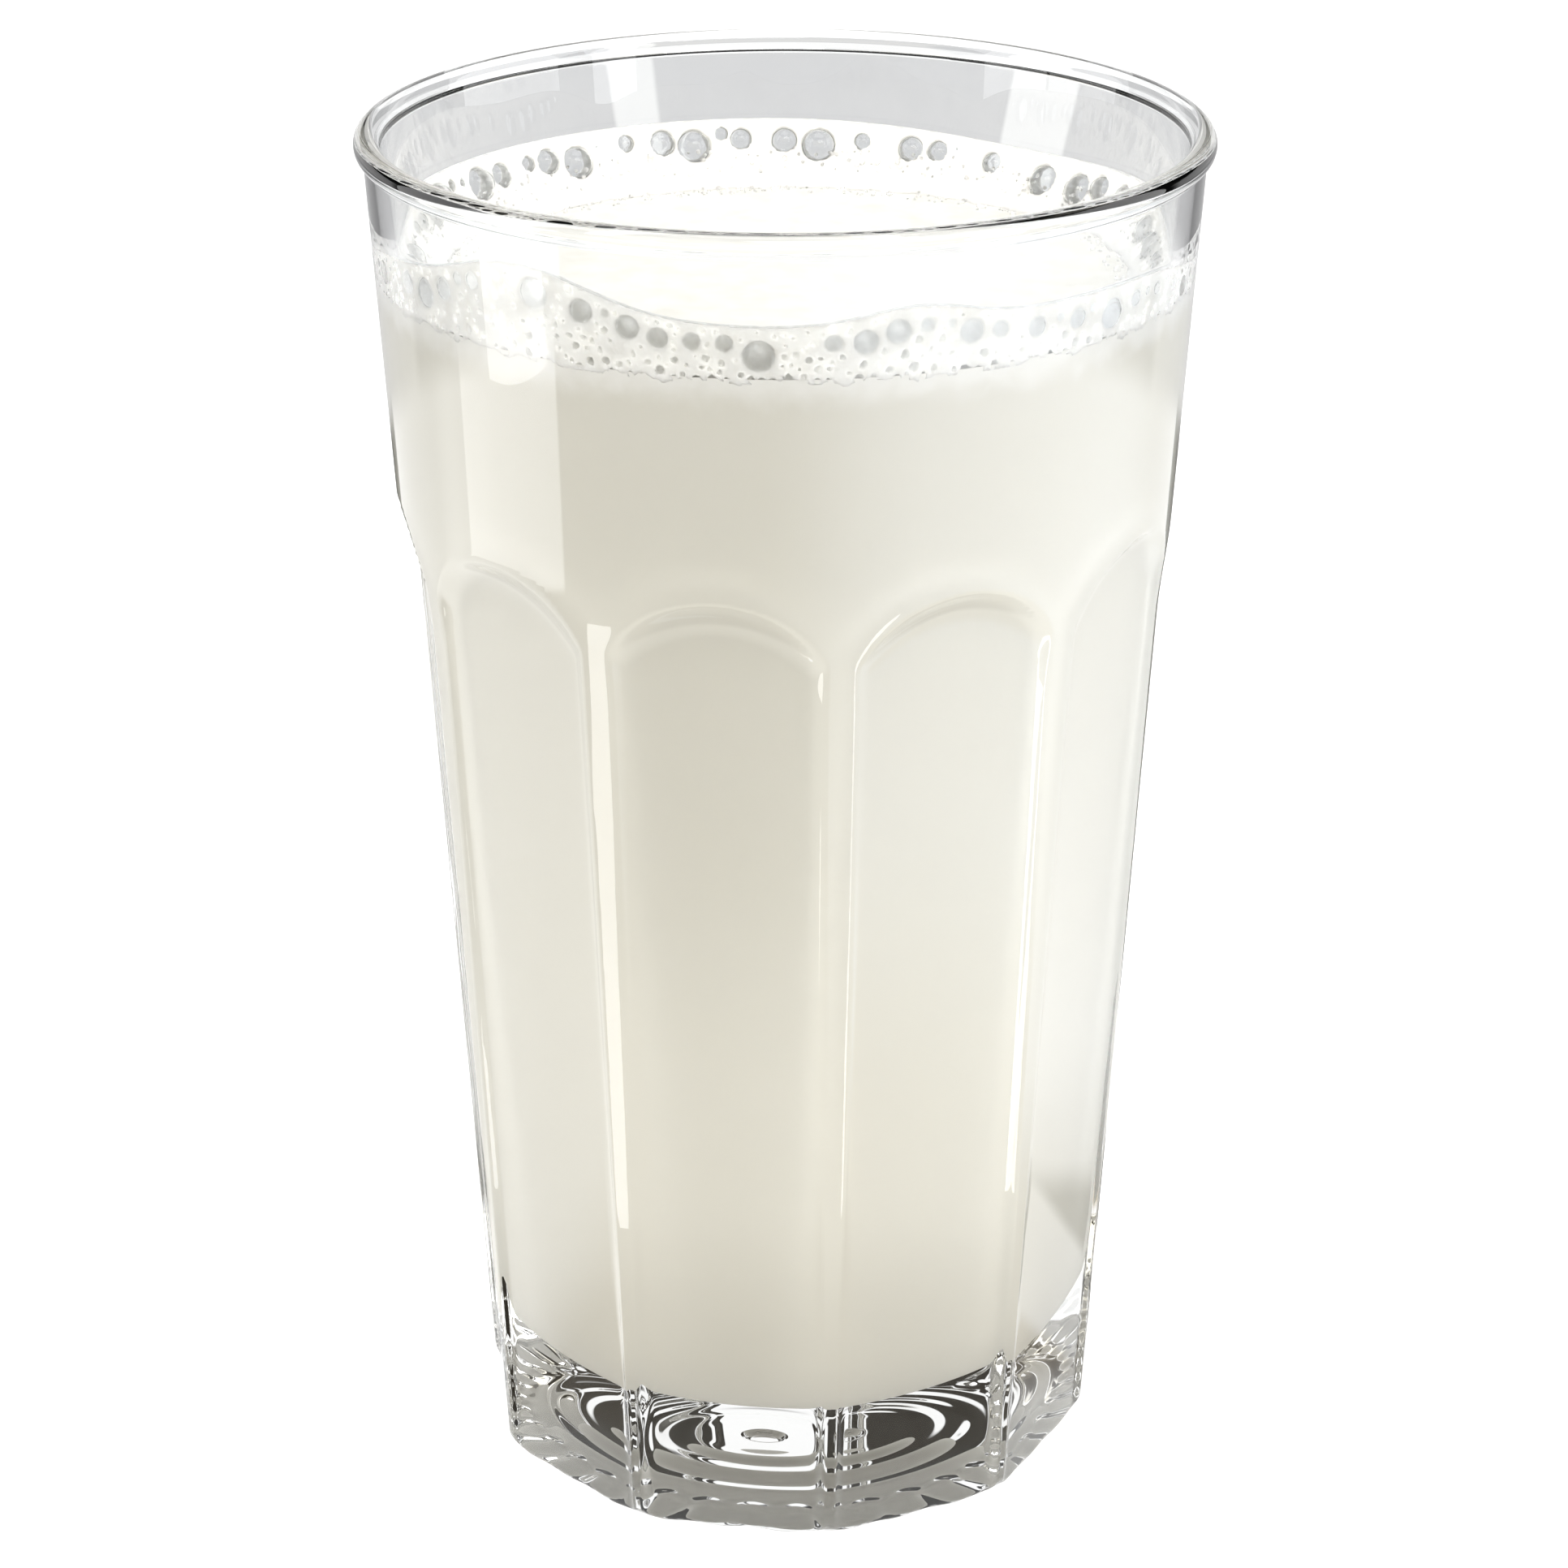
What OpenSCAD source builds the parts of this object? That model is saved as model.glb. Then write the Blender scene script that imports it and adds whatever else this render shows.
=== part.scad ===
// Tall panelled tumbler of pressed glass, filled with milk, with a ring of froth
// where the milk meets the wall. Millimetres, +Z up, origin at the centre of the foot.

/* [Tumbler body] */
// Height of the tumbler, foot to rim
tumbler_h = 140; // [120:1:170]
// Outer radius that the smooth upper band reaches at the rim
rim_r = 41.1; // [38:0.1:50]
// How much narrower the smooth band is at the shoulder than at the rim
band_flare = 2.55; // [1:0.05:5]
// Height of the shoulder, where the smooth band starts
shoulder_z = 100; // [90:0.5:110]
// How far the ribs lie inside the shoulder just under it
shoulder_step = 0.9; // [0.3:0.05:2]
// Height at which the ribs start to swell into the shoulder
rib_top_z = 93; // [80:0.5:99]
// How much narrower the ribs are at the foot than under the shoulder
rib_flare = 5.5; // [3:0.05:8]
// Radius of the rounded bead on the rim
bead_r = 1.25; // [0.9:0.05:2.5]

/* [Panels] */
// Number of flat panels
panel_count = 10; // [8:1:12]
// Turn of the panels about Z, in degrees
panel_turn = 26; // [0:1:45]
// Width of the rib between two panels, under the arches
rib_w_top = 3.2; // [1:0.1:5]
// Width of the rib between two panels, at the foot
rib_w_foot = 1.0; // [0.5:0.1:3]
// Height of the centre of the arch that ends a panel
arch_z = 88; // [70:0.5:92]
// Radius of the flat part of a panel under its arch
arch_r = 12; // [11.5:0.1:15]
// Radius of the hollow that runs from the flat up to the smooth band
scoop_r = 5; // [2:0.1:8]
// Width of the bevel round the foot
foot_bevel = 1.2; // [0.3:0.1:2]
// How far the turned heel draws in at the foot
heel_w = 2.2; // [1:0.1:3]
// Height of that heel
heel_h = 2.6; // [1:0.1:4]

/* [Wall and floor] */
// Thickness of the wall just under the bead
rim_wall = 1.7; // [1.2:0.1:4]
// Thickness of the wall behind a panel, at the height of its arch
panel_wall = 1.5; // [1.2:0.1:4]
// Thickness of the floor
floor_t = 11.8; // [6:0.1:20]
// Radius of the round between wall and floor
floor_round_r = 9; // [2:0.5:12]

/* [Underside] */
// Width of the flat ring that the foot stands on
foot_ring = 5.5; // [4:0.1:12]
// Depth of that hollow at its centre
punt_depth = 1.6; // [0.9:0.1:3]
// Radius of the raised dot that the mould leaves in the hollow
dot_r = 2.4; // [1:0.1:4]
// Height of that dot
dot_h = 0.5; // [0.2:0.1:0.8]

/* [Milk] */
// Free height above the milk, from its level to the rim
headspace = 15.5; // [12:0.5:60]
// Height by which the milk climbs the wall
meniscus_h = 1.5; // [0.5:0.1:3]
// Width of the climb, inward from the wall
meniscus_w = 4.5; // [3.2:0.1:6]

/* [Froth] */
// Height of the froth's plain edge above the milk's own edge
froth_h = 4.4; // [3:0.1:6]
// Thickness of the film at the froth's upper edge
film_t = 0.3; // [0.2:0.05:0.6]
// Number of bubble bulges round the ring
bulge_count = 60; // [30:1:70]
// Depth of each bulge
bulge_depth = 0.45; // [0:0.05:0.8]
// Gap between the froth and what it lies against
froth_gap = 0.05; // [0.02:0.01:0.2]

/* [Hidden] */

$fn = 96;
over = 1;                     // cutters reach this far past what they cut

half_panel = 180 / panel_count;
bead_z = tumbler_h - bead_r;

// Outer radii, each from the one above it: band at the shoulder, ribs' top, ribs' foot
shoulder_r = rim_r - band_flare;
rib_top_r = shoulder_r - shoulder_step;
rib_foot_r = rib_top_r - rib_flare;

// Outer radius of the smooth band and of the ribs at height z
function band_r(z) =
    shoulder_r + (rim_r - shoulder_r) * (z - shoulder_z) / (tumbler_h - shoulder_z);
function rib_r(z) = rib_foot_r + (rib_top_r - rib_foot_r) * z / rib_top_z;

// Distance of a flat from the axis, where its edges leave a rib of width w on radius r
function flat_dist(r, w) =
    let (half = r * sin(half_panel) - w / 2)
    sqrt(r * r - half * half);
flat_foot = flat_dist(rib_foot_r, rib_w_foot);
flat_slope = (flat_dist(rib_top_r, rib_w_top) - flat_foot) / rib_top_z;
flat_tilt = atan(flat_slope);
flat_arch = flat_foot + flat_slope * arch_z;

// Radius of the shallow hollow under the foot
punt_r = flat_foot - foot_bevel - foot_ring;

// The inner wall is one cone, given by the wall's thickness at the rim and at the arches
cavity_top_r = band_r(bead_z) - rim_wall;
cavity_arch_r = flat_arch - panel_wall;
cavity_slope = (cavity_top_r - cavity_arch_r) / (bead_z - arch_z);
cavity_tilt = atan(cavity_slope);
function cavity_r(z) = cavity_arch_r + cavity_slope * (z - arch_z);

// The bead's inner side touches the inner wall
bead_axis_r = cavity_top_r + bead_r;

// The floor round touches the floor and the inner wall
round_z = floor_t + floor_round_r;
round_axis_r = cavity_r(round_z) - floor_round_r / cos(cavity_tilt);

// The milk's surface is level, and climbs the wall on an arc
milk_level = tumbler_h - headspace;
milk_edge_z = milk_level + meniscus_h;
milk_edge_r = cavity_r(milk_edge_z);
meniscus_r = (pow(meniscus_w, 2) + pow(meniscus_h, 2)) / (2 * meniscus_h);
climb_start_r = milk_edge_r - meniscus_w;

// The hollow under the foot is part of a large ball
punt_ball_r = (pow(punt_r, 2) + pow(punt_depth, 2)) / (2 * punt_depth);

module outer_profile() {
    polygon([
        [0, 0], [rib_foot_r - heel_w, 0], [rib_r(heel_h), heel_h], [rib_top_r, rib_top_z], [shoulder_r, shoulder_z],
        [band_r(bead_z), bead_z], [0, bead_z]
    ]);
    translate([bead_axis_r, bead_z]) circle(bead_r);
}

// Everything inside the wall, up to height top
module cavity_profile(top) {
    touch_r = round_axis_r + floor_round_r * cos(cavity_tilt);
    touch_z = round_z - floor_round_r * sin(cavity_tilt);
    polygon([
        [0, floor_t], [round_axis_r, floor_t], [round_axis_r, round_z],
        [touch_r, touch_z], [cavity_r(top), top], [0, top]
    ]);
    translate([round_axis_r, round_z]) circle(floor_round_r);
}

// What is cut away outside one flat panel, up to its arch
module panel_cutter() {
    depth = 2 * scoop_r;
    translate([flat_arch, 0, arch_z]) rotate([0, 90 + flat_tilt, 0]) {
        rotate_extrude() {
            square([arch_r, depth]);
            translate([arch_r, scoop_r]) circle(scoop_r);
        }
        translate([0, -arch_r, 0]) cube([arch_z + scoop_r, 2 * arch_r, depth]);
    }
}

// The bevel between one flat panel and the foot
module bevel_cutter() {
    reach = 2 * arch_r;
    translate([flat_foot, 0, foot_bevel]) rotate([0, 45, 0])
        translate([0, -reach / 2, -reach]) cube([reach, reach, 2 * reach]);
}

module punt_cutter() {
    difference() {
        translate([0, 0, punt_depth - punt_ball_r]) sphere(punt_ball_r, $fn = 200);
        translate([0, 0, punt_depth - dot_h]) cylinder(r = dot_r, h = dot_h + over);
    }
}

module tumbler() {
    color([0.93, 0.95, 0.95, 0.35])
    difference() {
        rotate_extrude() outer_profile();
        rotate_extrude() difference() {
            cavity_profile(tumbler_h + over);
            translate([bead_axis_r, bead_z]) circle(bead_r);
        }
        for (k = [0 : panel_count - 1])
            rotate([0, 0, panel_turn - 90 + 360 / panel_count * k]) {
                panel_cutter();
                bevel_cutter();
            }
        punt_cutter();
    }
}

module milk() {
    color([0.93, 0.91, 0.85])
    rotate_extrude() difference() {
        cavity_profile(milk_edge_z);
        translate([0, milk_level]) square([climb_start_r, meniscus_h + over]);
        translate([climb_start_r, milk_level + meniscus_r]) circle(meniscus_r);
    }
}

// Where the froth rides up or sinks along the wall: angle, height and half-width of each swell
swells = [[-128, 3.8, 16], [-72, 1.6, 10], [-8, -2.2, 15], [50, -1.0, 25], [-176, -1.7, 12]];

function turn_between(a, b) = abs((a - b + 540) % 360 - 180);

// Height of the froth's upper edge at angle a
function froth_top(a) =
    let (rises = [for (s = swells) s[1] * exp(-pow(turn_between(a, s[0]) / s[2], 2))])
    milk_edge_z + froth_h + rises * [for (s = swells) 1];

// How far the froth stands in from the wall at angle a
function froth_reach(a) = meniscus_w - bulge_depth * (1 - abs(sin(bulge_count * a / 2)));

// Height of the milk's surface at a distance in from its edge
function milk_surface_z(inward) =
    let (run = max(0, meniscus_w - inward))
    milk_level + meniscus_r - sqrt(pow(meniscus_r, 2) - pow(run, 2));

bulge_steps = 4;              // sections to a bulge
under_steps = 5;              // steps along the milk in one section
over_steps = 4;               // steps over the bubbles in one section

// One section: in along the milk to the toe, then up over the bubbles to the film's edge
function froth_section(a) =
    let (
        reach = froth_reach(a),
        top = froth_top(a),
        toe_r = milk_edge_r - froth_gap - reach,
        toe_z = milk_surface_z(reach) + froth_gap,
        edge_r = cavity_r(top) - froth_gap
    )
    concat(
        [for (i = [0 : under_steps])
            let (inward = reach * i / under_steps)
            [milk_edge_r - froth_gap - inward, milk_surface_z(inward) + froth_gap]],
        [for (i = [1 : over_steps])
            let (s = 90 * i / over_steps)
            [toe_r + (edge_r - film_t - toe_r) * (1 - cos(s)), toe_z + (top - toe_z) * sin(s)]],
        [[edge_r, top]]
    );

module froth() {
    rings = bulge_count * bulge_steps;
    n = under_steps + over_steps + 2;
    points = [for (i = [0 : rings - 1])
        let (a = 360 * i / rings)
        for (p = froth_section(a)) [p[0] * cos(a), p[0] * sin(a), p[1]]];
    faces = [for (i = [0 : rings - 1]) for (j = [0 : n - 1])
        let (i2 = (i + 1) % rings, j2 = (j + 1) % n)
        [i * n + j, i2 * n + j, i2 * n + j2, i * n + j2]];
    color([0.97, 0.97, 0.95]) polyhedron(points, faces, convexity = 6);
}

tumbler();
milk();
froth();
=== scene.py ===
"""Looks of a tall tumbler of milk: clear pressed glass, ivory milk and a ring of froth.

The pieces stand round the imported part's nodes, in its frame, in metres.
"""

import logging
import math
import random
from dataclasses import dataclass, field
from enum import Enum
from typing import Sequence

import bmesh
import bpy
import numpy as np
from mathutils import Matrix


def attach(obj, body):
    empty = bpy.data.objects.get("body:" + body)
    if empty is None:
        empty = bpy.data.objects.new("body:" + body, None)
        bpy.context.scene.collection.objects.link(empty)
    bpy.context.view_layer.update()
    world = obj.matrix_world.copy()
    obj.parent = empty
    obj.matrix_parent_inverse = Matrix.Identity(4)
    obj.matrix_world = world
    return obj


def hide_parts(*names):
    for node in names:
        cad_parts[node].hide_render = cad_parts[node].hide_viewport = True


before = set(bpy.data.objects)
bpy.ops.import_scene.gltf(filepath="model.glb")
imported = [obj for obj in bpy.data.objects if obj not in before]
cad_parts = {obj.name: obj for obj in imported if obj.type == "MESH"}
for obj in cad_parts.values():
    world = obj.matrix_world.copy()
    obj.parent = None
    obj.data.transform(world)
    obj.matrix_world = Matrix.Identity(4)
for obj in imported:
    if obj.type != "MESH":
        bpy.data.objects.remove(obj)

import openvdb
from mathutils import Euler, Vector

LOG = logging.getLogger("glass_of_milk")
BODY = "root"
MM = 0.001
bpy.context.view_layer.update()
CROWDING = 0.65  # how much closer than even the glass's columns stand near its ribs, 0 to 1
BUBBLE_SHARES = 72  # how many equal shares of the turn bubbles are sorted into

Socket = bpy.types.NodeSocket
Point = tuple[float, float]
Colour = tuple[float, float, float, float]
Flags = tuple[tuple[float, float], ...]


class Kind(Enum):
    """The kinds of input that a Geometry Nodes tree can ask for."""

    FLOAT = "NodeSocketFloat"
    INT = "NodeSocketInt"
    BOOL = "NodeSocketBool"
    MATERIAL = "NodeSocketMaterial"


# ---------------------------------------------------------------- node trees


class Wiring:
    """Adds nodes to one tree and joins them, for shaders and for Geometry Nodes alike."""

    def __init__(self, tree: bpy.types.NodeTree) -> None:
        """Keeps the tree.

        Args:
            tree: The node tree to add to.
        """
        self.tree = tree

    def add(
        self, kind: str, inputs: dict[str | int, object] | None = None, **settings: object
    ) -> bpy.types.Node:
        """Adds a node.

        Args:
            kind: The node's type name.
            inputs: What goes into its inputs, by name or number: a socket or a plain value.
            settings: The node's own properties.

        Returns:
            The new node.
        """
        node = self.tree.nodes.new(kind)
        for name, value in settings.items():
            setattr(node, name, value)
        for key, value in (inputs or {}).items():
            self.feed(node.inputs[key], value)
        return node

    def feed(self, target: Socket, value: object) -> None:
        """Joins a socket to an input, or sets the input to a plain value.

        Args:
            target: The input.
            value: A socket, or a value for the input.
        """
        if isinstance(value, bpy.types.NodeSocket):
            self.tree.links.new(value, target)
        else:
            target.default_value = value

    def math(self, operation: str, *values: object) -> Socket:
        """Adds a Math node.

        Args:
            operation: The Math node's operation.
            values: Its inputs, sockets or numbers.

        Returns:
            The node's result.
        """
        return self.add("ShaderNodeMath", dict(enumerate(values)), operation=operation).outputs[0]

    def noise(self, vector: Socket, scale: float, detail: float = 2.0, roughness: float = 0.5) -> Socket:
        """Adds a Noise Texture.

        Args:
            vector: Where the noise is read.
            scale: Features to a metre.
            detail: Octaves.
            roughness: How strong the finer octaves are.

        Returns:
            The noise's value, about 0 to 1.
        """
        inputs = {"Vector": vector, "Scale": scale, "Detail": detail, "Roughness": roughness}
        return self.add("ShaderNodeTexNoise", inputs).outputs[0]

    def place(self) -> Socket:
        """Reads where a point lies in the object's own space."""
        return self.add("ShaderNodeTexCoord").outputs["Object"]

    def bump(self, height: Socket, strength: float, depth: float) -> Socket:
        """Turns a height into the direction that a surface faces.

        Args:
            height: The height, 0 to 1.
            strength: How strongly it shows.
            depth: How deep a height of 1 is.

        Returns:
            The direction.
        """
        inputs = {"Strength": strength, "Distance": depth, "Height": height}
        return self.add("ShaderNodeBump", inputs).outputs[0]

    def ramp(
        self, value: Socket, low: float, high: float, to_low: float = 0.0, to_high: float = 1.0
    ) -> Socket:
        """Maps a value smoothly from one range to another.

        Args:
            value: The value.
            low: Where the rise starts.
            high: Where it ends.
            to_low: The result at and below low.
            to_high: The result at and above high.

        Returns:
            The mapped value.
        """
        node = self.add(
            "ShaderNodeMapRange",
            {"Value": value, "From Min": low, "From Max": high, "To Min": to_low, "To Max": to_high},
            interpolation_type="SMOOTHSTEP",
        )
        return node.outputs[0]

    def sector(self, bearing_way: Socket, bearing: float, half: float, soft: float = 2.0) -> Socket:
        """Marks the directions within some degrees of a bearing.

        Args:
            bearing_way: A level direction of length 1.
            bearing: The middle of the sector, in degrees from the camera's side towards +X.
            half: Half of the sector's width, in degrees.
            soft: Width of its edges, in degrees.

        Returns:
            1 inside the sector and 0 outside.
        """
        middle = (math.sin(math.radians(bearing)), -math.cos(math.radians(bearing)), 0.0)
        dot = self.add("ShaderNodeVectorMath", {0: bearing_way, 1: middle}, operation="DOT_PRODUCT")
        outer, inner = math.cos(math.radians(half + soft)), math.cos(math.radians(half))
        return self.ramp(dot.outputs["Value"], outer, inner)

    def level_way(self, vector: Socket) -> Socket:
        """Turns a vector into the level direction of length 1 that it points along."""
        flat = self.add("ShaderNodeVectorMath", {0: vector, 1: (1.0, 1.0, 0.0)}, operation="MULTIPLY")
        return self.add("ShaderNodeVectorMath", {0: flat.outputs[0]}, operation="NORMALIZE").outputs[0]

    def blend(self, share: object, first: object, second: object) -> Socket:
        """Mixes two colours.

        Args:
            share: How much of the second colour shows.
            first: The first colour, RGBA, or a socket.
            second: The second colour.

        Returns:
            The mixed colour.
        """
        node = self.add("ShaderNodeMix", data_type="RGBA")
        self.feed(node.inputs[0], share)
        self.feed(node.inputs[6], first)
        self.feed(node.inputs[7], second)
        return node.outputs[2]


def grey(level: float) -> Colour:
    """A neutral colour of a given brightness."""
    return (level, level, level, 1.0)


def settle(shader: bpy.types.Node, **values: object) -> None:
    """Sets a shader's inputs to constants, each named with _ for its spaces."""
    for name, value in values.items():
        shader.inputs[name.replace("_", " ")].default_value = value


def new_material(name: str) -> tuple[bpy.types.Material, Wiring, bpy.types.Node, bpy.types.Node]:
    """Starts a material with one Principled shader.

    Args:
        name: The material's name.

    Returns:
        The material, its wiring, its Principled node and its output node.
    """
    material = bpy.data.materials.new(name)
    material.use_nodes = True
    material.node_tree.nodes.clear()
    wiring = Wiring(material.node_tree)
    shader = wiring.add("ShaderNodeBsdfPrincipled")
    output = wiring.add("ShaderNodeOutputMaterial", {"Surface": shader.outputs[0]})
    return material, wiring, shader, output


# ------------------------------------------------------------------ finishes


@dataclass(frozen=True)
class ClearGlass:
    """Colourless pressed glass, a little wavy, with faint smears."""

    name: str = "clear_glass"
    tint: Colour = (0.975, 0.985, 0.985, 1.0)
    refraction: float = 1.52
    wave_scale: float = 60.0
    wave_strength: float = 0.03
    wave_depth: float = 0.2 * MM
    smear_scale: float = 45.0
    smear_roughness: float = 0.02

    def make(self) -> bpy.types.Material:
        """Builds the material and returns it."""
        material, wiring, shader, _ = new_material(self.name)
        place = wiring.place()
        smear = wiring.ramp(wiring.noise(place, self.smear_scale, 4.0), 0.45, 0.75, 0.0, self.smear_roughness)
        wave = wiring.noise(place, self.wave_scale, 1.0)
        settle(shader, Base_Color=self.tint, Transmission_Weight=1.0, IOR=self.refraction)
        wiring.feed(shader.inputs["Roughness"], smear)
        wiring.feed(shader.inputs["Normal"], wiring.bump(wave, self.wave_strength, self.wave_depth))
        return material


@dataclass(frozen=True)
class MilkBody:
    """Milk seen through the wall: ivory, and whiter where fine froth has gathered under its level."""

    level: float
    name: str = "milk_behind_glass"
    ivory: Colour = (0.765, 0.75, 0.692, 1.0)
    pale_ivory: Colour = (0.78, 0.768, 0.717, 1.0)
    froth_white: Colour = (0.91, 0.905, 0.885, 1.0)
    fade_depth: float = 3.4 * MM
    fade_rise: float = 1.3 * MM
    raggedness: float = 3.0 * MM

    def make(self) -> bpy.types.Material:
        """Builds the material and returns it."""
        material, wiring, shader, _ = new_material(self.name)
        place = wiring.place()
        height = wiring.add("ShaderNodeSeparateXYZ", {0: place}).outputs[2]
        ragged = wiring.math("MULTIPLY_ADD", wiring.noise(place, 350.0, 3.0), self.raggedness, height)
        fade_top = self.level + self.fade_rise
        white = wiring.ramp(ragged, fade_top - self.fade_depth, fade_top)
        cloud = wiring.ramp(wiring.noise(place, 25.0), 0.3, 0.7, 0.0, 0.25)
        base = wiring.blend(cloud, self.ivory, self.pale_ivory)
        wiring.feed(shader.inputs["Base Color"], wiring.blend(white, base, self.froth_white))
        settle(shader, Roughness=0.6, Specular_IOR_Level=0.0)
        return material


@dataclass(frozen=True)
class MilkSurface:
    """The open, wet top of the milk, its colour painted darker than the milk at the wall as shade against the
    strong light from above.
    """

    name: str = "milk_surface_painted_shade"
    # painted shade: both top colours are kept darker than the milk seen through the wall, to hold back the
    # strong light from above
    shaded_cream: Colour = (0.56, 0.56, 0.552, 1.0)
    pale: Colour = (0.60, 0.601, 0.597, 1.0)
    light_depth: float = 4.0 * MM
    depth_colours: tuple[float, float, float] = (1.0, 0.75, 0.45)
    refraction: float = 1.35

    def make(self) -> bpy.types.Material:
        """Builds the material and returns it."""
        material, wiring, shader, _ = new_material(self.name)
        place = wiring.place()
        swirl = wiring.ramp(wiring.noise(place, 40.0, 3.0), 0.35, 0.65)
        ripple = wiring.noise(place, 30.0, 1.0)
        wiring.feed(shader.inputs["Base Color"], wiring.blend(swirl, self.shaded_cream, self.pale))
        wiring.feed(shader.inputs["Normal"], wiring.bump(ripple, 0.15, 0.5 * MM))
        shader.subsurface_method = "BURLEY"
        settle(shader, Roughness=0.12, IOR=self.refraction, Subsurface_Weight=1.0)
        settle(shader, Subsurface_Radius=self.depth_colours, Subsurface_Scale=self.light_depth)
        return material


@dataclass(frozen=True)
class WhiteFroth:
    """Fine white froth, dimpled by bubbles too small to model."""

    name: str = "white_froth"
    white: Colour = (0.93, 0.93, 0.925, 1.0)
    shade: Colour = (0.88, 0.875, 0.86, 1.0)
    cell_scale: float = 2200.0
    cell_depth: float = 0.12 * MM
    light_depth: float = 1.3 * MM
    depth_colours: tuple[float, float, float] = (1.0, 1.0, 0.97)

    def make(self) -> bpy.types.Material:
        """Builds the material and returns it."""
        material, wiring, shader, _ = new_material(self.name)
        place = wiring.place()
        cells = wiring.add("ShaderNodeTexVoronoi", {"Vector": place, "Scale": self.cell_scale}).outputs[0]
        patches = wiring.ramp(wiring.noise(place, 500.0, 2.0), 0.45, 0.75)
        wiring.feed(shader.inputs["Base Color"], wiring.blend(patches, self.white, self.shade))
        wiring.feed(shader.inputs["Normal"], wiring.bump(cells, 0.35, self.cell_depth))
        shader.subsurface_method = "BURLEY"
        settle(shader, Roughness=0.3, Subsurface_Weight=1.0)
        settle(shader, Subsurface_Radius=self.depth_colours, Subsurface_Scale=self.light_depth)
        return material


@dataclass(frozen=True)
class WetFilm:
    """A thin milky film on the wall, which lets some light through."""

    name: str = "wet_film"
    white: Colour = (0.95, 0.955, 0.97, 1.0)
    clearness: float = 0.3

    def make(self) -> bpy.types.Material:
        """Builds the material and returns it."""
        material, wiring, shader, output = new_material(self.name)
        place = wiring.place()
        streaks = wiring.ramp(
            wiring.noise(place, 420.0, 3.0), 0.3, 0.7, self.clearness - 0.2, self.clearness + 0.2
        )
        clear = wiring.add("ShaderNodeBsdfTransparent")
        mixed = wiring.add("ShaderNodeMixShader", {0: streaks, 1: shader.outputs[0], 2: clear.outputs[0]})
        wiring.feed(output.inputs["Surface"], mixed.outputs[0])
        settle(shader, Base_Color=self.white, Roughness=0.15)
        return material


@dataclass(frozen=True)
class BubbleSkin:
    """The skin of a bubble: see-through, and bright or dark only where it is seen edge on."""

    name: str = "bubble_skin"
    tint: Colour = (0.97, 0.975, 0.98, 1.0)
    refraction: float = 1.33

    def make(self) -> bpy.types.Material:
        """Builds the material and returns it."""
        material, wiring, shader, _ = new_material(self.name)
        place = wiring.place()
        drain = wiring.ramp(wiring.noise(place, 900.0, 2.0), 0.4, 0.7, 0.0, 0.06)
        settle(shader, Base_Color=self.tint, Transmission_Weight=1.0, IOR=self.refraction)
        wiring.feed(shader.inputs["Roughness"], drain)
        return material


# -------------------------------------------------------------- mesh helpers


def arc(centre: Point, radius: float, start: float, end: float, steps: int) -> list[Point]:
    """Points along an arc of a section.

    Args:
        centre: The arc's centre, as distance from the axis and height.
        radius: The arc's radius.
        start: The first point's angle in degrees, 0 pointing away from the axis.
        end: The last point's angle.
        steps: How many steps the arc has.

    Returns:
        The points, both ends included.
    """
    turns = [math.radians(start + (end - start) * i / steps) for i in range(steps + 1)]
    return [(centre[0] + radius * math.cos(t), centre[1] + radius * math.sin(t)) for t in turns]


def spread(start: float, end: float, steps: int) -> list[float]:
    """Evenly spaced numbers from start to end, both included."""
    return [start + (end - start) * i / steps for i in range(steps + 1)]


def put_in_scene(name: str, data: bpy.types.ID) -> bpy.types.Object:
    """Makes an object of a mesh, a light or a camera and links it to the scene."""
    piece = bpy.data.objects.new(name, data)
    bpy.context.scene.collection.objects.link(piece)
    return piece


def section_mesh(name: str, section: Sequence[Point]) -> bpy.types.Object:
    """Makes an open chain of points in the XZ plane, for a tree to turn round the axis.

    Args:
        name: The object's name.
        section: Distances from the axis and heights.

    Returns:
        The new object, linked to the scene.
    """
    mesh = bpy.data.meshes.new(name)
    links = [(i, i + 1) for i in range(len(section) - 1)]
    mesh.from_pydata([(r, 0.0, z) for r, z in section], links, [])
    return put_in_scene(name, mesh)


def smoothstep(low: float, high: float, value: float) -> float:
    """The usual smooth rise from 0 at low to 1 at high."""
    t = min(1.0, max(0.0, (value - low) / (high - low)))
    return t * t * (3.0 - 2.0 * t)


def bake_nodes(piece: bpy.types.Object) -> bpy.types.Object:
    """Replaces a piece that carries a node modifier by its plain resulting mesh.

    Args:
        piece: The object with the modifier.

    Returns:
        The same object, with the result as its own mesh and no modifier.
    """
    graph = bpy.context.evaluated_depsgraph_get()
    result = bpy.data.meshes.new_from_object(piece.evaluated_get(graph), depsgraph=graph)
    piece.modifiers.clear()
    old = piece.data
    piece.data = result
    result.name = piece.name
    bpy.data.meshes.remove(old)
    return piece


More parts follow.
